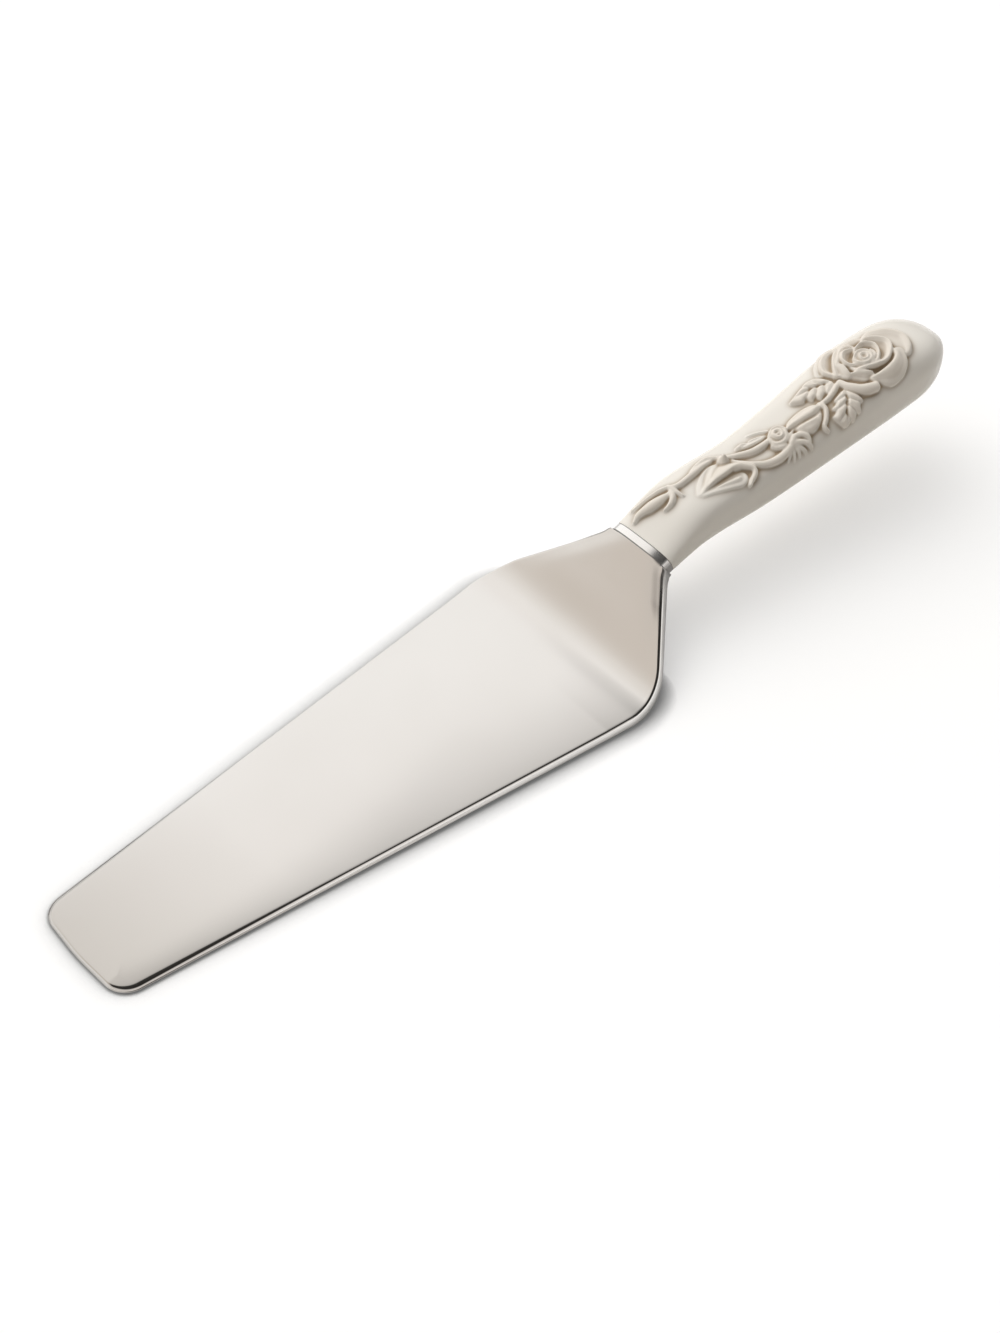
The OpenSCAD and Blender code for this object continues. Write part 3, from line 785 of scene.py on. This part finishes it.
# Stems of the fronds and of the bud, crossing to run on to the collar
stem([(41.3, -6.3, 0.9), (38.4, -6.8, 1), (35.7, -6.7, 1), (33, -5.9, 0.95), (30.4, -4.2, 0.9),
      (28.7, -2.3, 0.8), (27.5, -0.4, 0.6)], lift=0.3)
stem([(38.6, -1.6, 0.8), (35.5, -1.6, 1), (32.8, -1.1, 1), (30, 0.1, 0.95), (27.6, 1.2, 0.9),
      (25.3, 3, 0.85), (23.4, 4.3, 0.8), (21, 4.3, 0.7), (18.6, 3.7, 0.6), (16.6, 2.8, 0.4)], lift=0.3)
stem([(24, 3.2, 0.5), (21.2, 3.2, 0.7), (18.9, 2.9, 0.85), (15.3, 2.5, 0.85), (13, 2.6, 0.8),
      (11.4, 3.6, 0.7)], lift=0.3)
thorn(25.7, 1, radius=2, height=3.3)

# Large folded leaf: its upper sheet rises to a lip, which curls over at the right end
petal([(14.4, -3.2, 0.3), (16, -1, 0.3), (18.5, 0.8, 0.35), (21.5, 1.8, 0.4), (24, 1.4, 0.5),
       (27, 0.2, 0.5), (28.4, -1.2, 0.6), (29, -2.6, 0.8), (28.4, -3.7, 1.7), (27.2, -3, 1.9),
       (25.4, -2.7, 1.9), (23.4, -2.8, 1.8), (20, -2.9, 1.6), (17.2, -3, 1.1)], depth=0, width=1, roll=0.4)
groove([(22, 1.6, 0.1), (19.4, 0.4, 0.25), (17, -1.6, 0.25), (15.4, -2.8, 0.1)], width=0.3)
groove([(24.6, 1, 0.1), (22, 0, 0.25), (19.4, -1.6, 0.3), (17.4, -2.6, 0.1)], width=0.3)
stem([(25.5, -2.7, 0.7), (27.4, -3.1, 0.9), (28.6, -4, 0.9), (29.4, -5.1, 0.8), (29.2, -6.1, 0.7),
      (28.2, -6.8, 0.6), (27, -7.3, 0.5), (26, -8, 0.4)], lift=0.8)
petal([(15, -3.8, 0.4), (17.5, -4.9, 0.5), (21.3, -6.2, 0.6), (24.6, -7, 0.6), (26.6, -6, 0.5),
       (26, -4, 0.3), (20, -3.6, 0.3)], depth=0.2, width=1, roll=0.5)
blade_of_leaf([(18, -4.3), (20, -4.2), (22.6, -4.4), (25.6, -4.9), (25.4, -5.8), (24.4, -6.2), (21.4, -5.6)],
              height=0.9, swell=0.9)
# Small leaves on the far side of the stem
blade_of_leaf([(30.8, 2), (32, 2.8), (33.4, 2.7), (34.4, 1.9), (35.6, 2), (37.8, 1.2), (39.2, 0),
               (37, -0.4), (34.2, 0.2)], height=0.9, swell=0.7)
groove([(38, 0.3, 0.3), (35.5, 1, 0.4), (32.6, 1.6, 0.4)], width=0.25)
stem([(36, 3.5, 0.3), (38, 2.6, 0.4), (40.4, 1, 0.4)], lift=0.1)

# Leaves by the collar
stem([(11.4, 4, 0.6), (9.8, 5, 0.6), (7.8, 5.8, 0.55), (5.7, 6.5, 0.5), (3.2, 7.3, 0.4)], lift=0.3)
stem([(11.4, 4.1, 0.6), (11.6, 2.6, 0.6), (11.7, 1, 0.5), (11.9, -0.5, 0.3)], lift=0.4)
stem([(10.2, 2.6, 0.6), (9.2, 2.6, 1), (7.7, 3, 1.3), (5.9, 3.7, 1.4), (4.4, 4.4, 1.1), (3, 4.8, 0.9),
      (1.7, 4.5, 0.6)], lift=0.2)
stem([(10.8, 2.6, 0.6), (10.2, 1.1, 0.75), (8.9, 0.2, 0.75), (7.3, 0.2, 0.5)], lift=0.3)


def softened(field, width):
    """The map blurred over a width in millimetres."""
    reach = int(3 * width / CELL) + 1
    weights = np.exp(-((np.arange(-reach, reach + 1) * CELL / width) ** 2) / 2)
    weights /= weights.sum()
    for axis in (0, 1):
        padded = np.pad(field, [(reach, reach) if a == axis else (0, 0) for a in (0, 1)], mode="edge")
        field = np.apply_along_axis(lambda line: np.convolve(line, weights, "valid"), axis, padded)
    return field


# The glaze rounds off every form, and a crevice is what lies lower than its surroundings
GLAZE_SOFT = 0.15
CREVICE_W = 0.8
relief = softened(relief, GLAZE_SOFT)
crevice = softened(relief, CREVICE_W) - relief


def along(x, column):
    """Smooth curve through a column of the stations."""
    at, values = STATIONS[:, 0], STATIONS[:, column]
    wide = np.concatenate([[0], np.arange(len(at)), [len(at) - 1]])
    slope = (values[wide[2:]] - values[wide[:-2]]) / (at[wide[2:]] - at[wide[:-2]])
    i = np.clip(np.searchsorted(at, x, "right") - 1, 0, len(at) - 2)
    span = at[i + 1] - at[i]
    k = (x - at[i]) / span
    return (
        values[i] * (1 + 2 * k) * (1 - k) ** 2 + slope[i] * span * k * (1 - k) ** 2
        + values[i + 1] * (3 - 2 * k) * k * k + slope[i + 1] * span * k * k * (k - 1)
    )


def read_map(field, x, s):
    """Height on the map at any places."""
    i = np.clip((s + MAP_HALF) / CELL, 0, field.shape[0] - 1.001)
    j = np.clip(x / CELL, 0, field.shape[1] - 1.001)
    a, b = i.astype(int), j.astype(int)
    u, v = i - a, j - b
    return (
        field[a, b] * (1 - u) * (1 - v) + field[a + 1, b] * u * (1 - v)
        + field[a, b + 1] * (1 - u) * v + field[a + 1, b + 1] * u * v
    )


# Rings lie close together under the relief and closest at the end of the butt
RING_STEP = 0.22
CLOSE_FROM, CLOSE_TO = 0.3, 86
BUTT_STRETCH = 12.4
BUTT_RINGS = 50
butt_x = HANDLE_LEN - BUTT_STRETCH * np.linspace(1, 0, BUTT_RINGS) ** 2
ring_x = np.concatenate([[0, 0.1], np.arange(CLOSE_FROM, CLOSE_TO, RING_STEP), butt_x])
# Points crowd to the top of each ring
TOP_SHARE = 0.52
TOP_POINTS = 70
UNDER_POINTS = 16
side_share = np.concatenate([
    np.linspace(0, TOP_SHARE, TOP_POINTS, endpoint=False), np.linspace(TOP_SHARE, 1, UNDER_POINTS),
])
shares = np.concatenate([side_share, -side_share[-2:0:-1]])
base = np.zeros((len(ring_x), len(shares), 3))
round_s = np.zeros(base.shape[:2])
HALF_TURN_STEPS = 721
turn = np.radians(90 - 180 * np.linspace(0, 1, HALF_TURN_STEPS))
c, s = np.cos(turn), np.sin(turn)
for i, x in enumerate(ring_x):
    to_collar = max(0, 1 - x / TILT_LEN) ** 2
    to_butt = max(0, (x - BUTT_FROM) / (HANDLE_LEN - BUTT_FROM))
    squareness = HANDLE_SQUARE + (COLLAR_SQUARE - HANDLE_SQUARE) * to_collar
    squareness += (BUTT_SQUARE - HANDLE_SQUARE) * to_butt
    k = max(0, (x - HANDLE_LEN + BUTT_ROUND) / BUTT_ROUND)
    scale = math.sqrt(max(0, 1 - k**BUTT_FULLNESS))
    reach = (abs(c) ** squareness + abs(s) ** squareness) ** (-1 / squareness) * scale
    y, z = along(x, 2) / 2 * reach * c, along(x, 3) / 2 * reach * s
    far = np.concatenate([[0], np.cumsum(np.hypot(np.diff(y), np.diff(z)))])
    places = abs(shares) * far[-1]
    y, z = np.interp(places, far, y) * np.sign(shares), np.interp(places, far, z)
    tilt = COLLAR_TILT * to_collar
    base[i] = HANDLE_START + np.column_stack([x - z * math.sin(tilt), y, along(x, 1) + z * math.cos(tilt)])
    round_s[i] = shares * far[-1]

lengthways = np.gradient(base, axis=0)
sideways = np.roll(base, -1, 1) - np.roll(base, 1, 1)
outward = np.cross(lengthways, sideways)
outward /= np.linalg.norm(outward, axis=2, keepdims=True) + 1e-12
outward *= np.sign((outward * (base - base.mean(1, keepdims=True))).sum(2, keepdims=True))
places_x = np.repeat(ring_x[:, None], len(shares), 1)
swell = read_map(relief, places_x, round_s)
swell[-1] = 0
skin = base + outward * swell[..., None]
rows, columns = skin.shape[:2]
faces = ring_faces(rows + 1, columns)
front = np.repeat(skin[:1].mean(1, keepdims=True), columns, 1)
handle_points = np.concatenate([front, skin]).reshape(-1, 3)
handle = mesh_piece("handle_cast", handle_points, faces)

# The glaze is painted browner in the crevices of the relief, partly as glaze lying thicker there and partly
# as painted shade
CREVICE_FULL = 0.42
depth = np.concatenate([np.zeros(columns), read_map(crevice, places_x, round_s).ravel()])
paint(handle, "crevice", handle_points, depth)
# On the raised forms it is thinner, so the warmer clay shows through
RAISED_FULL = 1.2
raised = np.concatenate([np.zeros(columns), swell.ravel() / RAISED_FULL])
paint(handle, "raised", handle_points, raised)

DARK_IVORY = (0.755, 0.722, 0.664, 1)
PALE_IVORY = (0.795, 0.763, 0.708, 1)
WARM_IVORY = (0.745, 0.688, 0.612, 1)
# Warm brown for the crevices: pooled glaze together with painted shade
STAIN_AND_SHADE = (0.34, 0.262, 0.178, 1)
glaze, tree, shader = new_material("handle_glaze")
clouds = add(tree, "ShaderNodeTexNoise", {"Vector": place_on(tree), "Scale": 60, "Detail": 3})
ivory = blend(tree, clouds.outputs[0], DARK_IVORY, PALE_IVORY)
ivory = blend(tree, painted(tree, "raised"), ivory, WARM_IVORY)
stained_and_shaded = blend(tree, share_from(tree, painted(tree, "crevice"), 0, CREVICE_FULL), ivory, STAIN_AND_SHADE)
tree.links.new(stained_and_shaded, shader.inputs["Base Color"])
shine = add(tree, "ShaderNodeMapRange", {"Value": clouds.outputs[0], "To Min": 0.2, "To Max": 0.28})
tree.links.new(shine.outputs[0], shader.inputs["Roughness"])
handle.data.materials.append(glaze)
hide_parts("handle")
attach(handle, "root")

# Floor
# A plain white table top that runs on as the backdrop and keeps the shadow of the server.
# Seen by the camera or in the steel it is lifted to white, and the light that it throws back is warmer.
FLOOR_SIZE = 8
FLOOR_TONE = (0.7, 0.7, 0.7, 1)
FLOOR_LIFT = 0.33
FLOOR_BOUNCE = (0.8, 0.755, 0.69, 1)
bpy.ops.mesh.primitive_plane_add(size=FLOOR_SIZE)
floor = bpy.context.object
floor.name = "floor"
table_white, tree, _ = new_material("table_white")
seen = tree.nodes.new("ShaderNodeLightPath").outputs
shown = figure(tree, "MAXIMUM", seen["Is Camera Ray"], seen["Is Glossy Ray"])
# The white is painted darker close to the blade's edge, where it lies on the table: a painted contact shadow
CONTACT = 5
COVERED, OPEN = 0.78, 0.93
DARKEST = 0.34
BLACK = (0, 0, 0, 1)
near = add(tree, "ShaderNodeAmbientOcclusion", {"Distance": CONTACT * MM}, samples=6).outputs["AO"]
clear = add(tree, "ShaderNodeMapRange", {
    "Value": near, "From Min": COVERED, "From Max": OPEN, "To Min": DARKEST,
}).outputs[0]
matt = add(tree, "ShaderNodeBsdfDiffuse", {"Color": blend(tree, clear, BLACK, FLOOR_TONE)})
lift = figure(tree, "MULTIPLY", clear, FLOOR_LIFT)
lift = add(tree, "ShaderNodeEmission", {"Color": (1, 1, 1, 1), "Strength": lift})
lifted = add(tree, "ShaderNodeAddShader", {0: matt.outputs[0], 1: lift.outputs[0]})
plain = add(tree, "ShaderNodeBsdfDiffuse", {"Color": FLOOR_BOUNCE})
either = add(tree, "ShaderNodeMixShader", {0: shown, 1: plain.outputs[0], 2: lifted.outputs[0]})
tree.links.new(either.outputs[0], tree.nodes["Material Output"].inputs[0])
floor.data.materials.append(table_white)

# Light
# Soft daylight from a large window high up on the far side, and a weak broad lamp behind on the left.
# The steel mirrors a pale studio: white behind, warm grey at the sides, dark overhead.
BACK = (0.654, 0.757, 0)
RIGHT = (0.757, -0.654, 0)
world = bpy.data.worlds.new("studio")
bpy.context.scene.world = world
world.use_nodes = True
tree = world.node_tree
way = tree.nodes.new("ShaderNodeTexCoord").outputs["Generated"]
up = add(tree, "ShaderNodeSeparateXYZ", {0: way}).outputs[2]
to_back = reach_along(tree, way, BACK)
to_right = reach_along(tree, way, RIGHT)


def ramp(tree, value, stops):
    """Colours at places from -1 to 1."""
    node = add(tree, "ShaderNodeValToRGB", {"Fac": figure(tree, "MULTIPLY_ADD", value, 0.5, 0.5)})
    elements = node.color_ramp.elements
    while len(elements) < len(stops):
        elements.new(1)
    for element, (place, colour) in zip(elements, stops):
        element.position = place / 2 + 0.5
        element.color = (*colour, 1)
    return node.outputs[0]


# The walls from the front to the back, lighter on the left and low down, with a dark skirting behind
WALL_WHITE = (1, 0.99, 0.97, 1)
SKIRTING = (0.4, 0.39, 0.38, 1)
wall_tones = ramp(tree, to_back, (
    (-0.35, (0.8, 0.77, 0.74)), (-0.2, (0.66, 0.61, 0.56)), (-0.08, (0.665, 0.61, 0.555)),
    (-0.02, (0.69, 0.63, 0.57)), (0.03, (0.69, 0.63, 0.57)), (0.1, (0.73, 0.68, 0.625)),
    (0.2, (0.82, 0.78, 0.735)), (0.3, (0.88, 0.85, 0.81)), (0.42, (0.94, 0.915, 0.885)),
    (0.55, (0.97, 0.945, 0.915)), (0.6, (0.97, 0.945, 0.92)), (0.7, (1.03, 1.02, 1)),
))
low = share_from(tree, up, 0.55, 0.3)
left = share_from(tree, to_right, -0.772, -0.81)
walls = blend(tree, figure(tree, "MAXIMUM", low, left), wall_tones, WALL_WHITE)
behind = share_from(tree, to_back, 0.5, 0.7)
lowest = share_from(tree, up, 0.3, 0.12)
walls = blend(tree, figure(tree, "MULTIPLY", behind, lowest), walls, SKIRTING)
# The white panel behind fades as it rises, and reaches higher on the left than on the right
LEAN_RIGHT = 0.25
LEAN_LEFT = 0.6
LEFT_FROM = 0.03
LEAN_FRONT = 0.7
FRONT_FROM = 0.33
FADE = ((0.762, 1), (0.782, 0.89), (0.802, 0.8), (0.83, 0.66), (0.86, 0.44), (0.885, 0.22), (0.91, 0.04))
right_part = figure(tree, "MULTIPLY", figure(tree, "MAXIMUM", to_right, 0), LEAN_RIGHT)
left_part = figure(tree, "MINIMUM", figure(tree, "ADD", to_right, LEFT_FROM), 0)
left_part = figure(tree, "MULTIPLY", left_part, LEAN_LEFT)
front_part = figure(tree, "MAXIMUM", figure(tree, "SUBTRACT", FRONT_FROM, to_back), 0)
lean = figure(tree, "MULTIPLY_ADD", front_part, LEAN_FRONT, figure(tree, "ADD", right_part, left_part))
panel_height = figure(tree, "ADD", up, lean)
fade = ramp(tree, panel_height, [(place, (bright,) * 3) for place, bright in FADE])
studio = blend(tree, fade, BLACK, walls)
# The wall in front is pale too, up to the dark ceiling
FRONT_WALL = (0.82, 0.79, 0.76, 1)
in_front = share_from(tree, to_back, -0.35, -0.55)
under_ceiling = share_from(tree, up, 0.9, 0.7)
studio = blend(tree, figure(tree, "MULTIPLY", in_front, under_ceiling), studio, FRONT_WALL)
seen = tree.nodes.new("ShaderNodeLightPath").outputs
mirrored = tree.nodes["Background"]
tree.links.new(studio, mirrored.inputs["Color"])
# Soft light falls in from all round, and most from a large window high up on the far side
WINDOW = (-0.093, 0.565, 0.82)
ROUND_LIGHT = 0.15
WINDOW_LIGHT = 2.95
WINDOW_NARROW = 4
DAYLIGHT = (1, 0.985, 0.965, 1)
to_window = figure(tree, "MAXIMUM", reach_along(tree, way, WINDOW), 0)
glow = figure(tree, "POWER", to_window, WINDOW_NARROW)
soft = figure(tree, "MULTIPLY_ADD", glow, WINDOW_LIGHT, ROUND_LIGHT)
fill = add(tree, "ShaderNodeBackground", {"Color": DAYLIGHT, "Strength": soft})
white = add(tree, "ShaderNodeBackground", {"Color": (1, 1, 1, 1)})
first_bounce = figure(tree, "LESS_THAN", seen["Diffuse Depth"], 1)
in_steel = figure(tree, "MULTIPLY", seen["Is Glossy Ray"], first_bounce)
unseen = add(tree, "ShaderNodeMixShader", {0: in_steel, 1: fill.outputs[0], 2: mirrored.outputs[0]})
every = add(tree, "ShaderNodeMixShader", {
    0: seen["Is Camera Ray"], 1: unseen.outputs[0], 2: white.outputs[0],
})
tree.links.new(every.outputs[0], tree.nodes["World Output"].inputs[0])

LAMP_POWER = 1.5
LAMP_SIZE = 1
LAMP_AWAY = 1.4
LAMP_RISE = math.radians(45)
# Turn of the lamp from straight back towards the left
LAMP_TURN = math.radians(50)
lamp = bpy.data.objects.new("lamp", bpy.data.lights.new("lamp", "AREA"))
bpy.context.scene.collection.objects.link(lamp)
lamp.data.energy = LAMP_POWER
lamp.data.size = LAMP_SIZE
lamp.visible_glossy = False
level = math.cos(LAMP_TURN) * np.array(BACK) - math.sin(LAMP_TURN) * np.array(RIGHT)
lamp.location = LAMP_AWAY * (math.cos(LAMP_RISE) * level + math.sin(LAMP_RISE) * np.array([0, 0, 1]))
lamp.rotation_euler = lamp.location.to_track_quat("Z", "Y").to_euler()

# Camera
# The photograph's view: from the near side of the tip, looking down at the blade.
AIM = np.array([-8.7, 5.3, 0]) * MM
AZIMUTH = math.radians(-40.85)
ELEVATION = math.radians(47)
DISTANCE = 0.5294
SENSOR_W = 36
LENS = 60.77
camera = bpy.data.objects.new("camera", bpy.data.cameras.new("camera"))
bpy.context.scene.collection.objects.link(camera)
camera.location = AIM + DISTANCE * np.array([
    math.sin(AZIMUTH) * math.cos(ELEVATION),
    -math.cos(AZIMUTH) * math.cos(ELEVATION),
    math.sin(ELEVATION),
])
camera.rotation_euler = (math.pi / 2 - ELEVATION, 0, AZIMUTH)
camera.data.sensor_width = SENSOR_W
camera.data.lens = LENS
bpy.context.scene.camera = camera
bpy.context.scene.view_settings.view_transform = "Standard"
